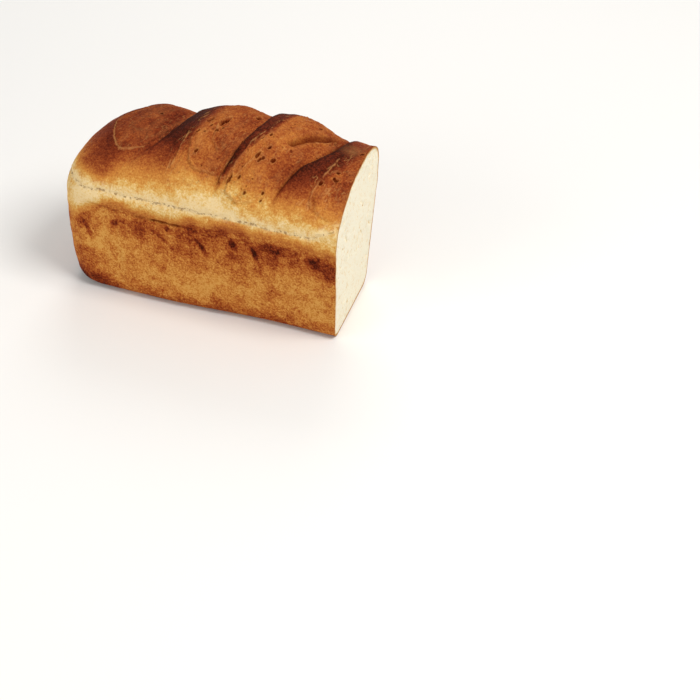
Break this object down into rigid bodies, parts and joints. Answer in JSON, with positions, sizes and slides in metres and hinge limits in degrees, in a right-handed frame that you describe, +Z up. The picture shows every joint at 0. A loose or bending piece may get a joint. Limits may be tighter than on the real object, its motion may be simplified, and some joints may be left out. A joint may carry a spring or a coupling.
{
  "type": "tin loaf",
  "caption": "Cut loaf of white tin bread: straight tin-baked sides and end, slashed domed crown, flat base to stand on and one knife-cut end showing the crumb.",
  "frame": {"origin": "middle of the loaf's bounding box seen from above, on the flat base it stands on", "axes": "+Z up through the crown; +X along the loaf towards the knife-cut end; the baked end faces -X"},
  "size_m": [0.2392, 0.1098, 0.1503],
  "materials": {
    "crust": "satin"
  },
  "bodies": {
    "root": {"tin_loaf": "crust"}
  },
  "joints": []
}
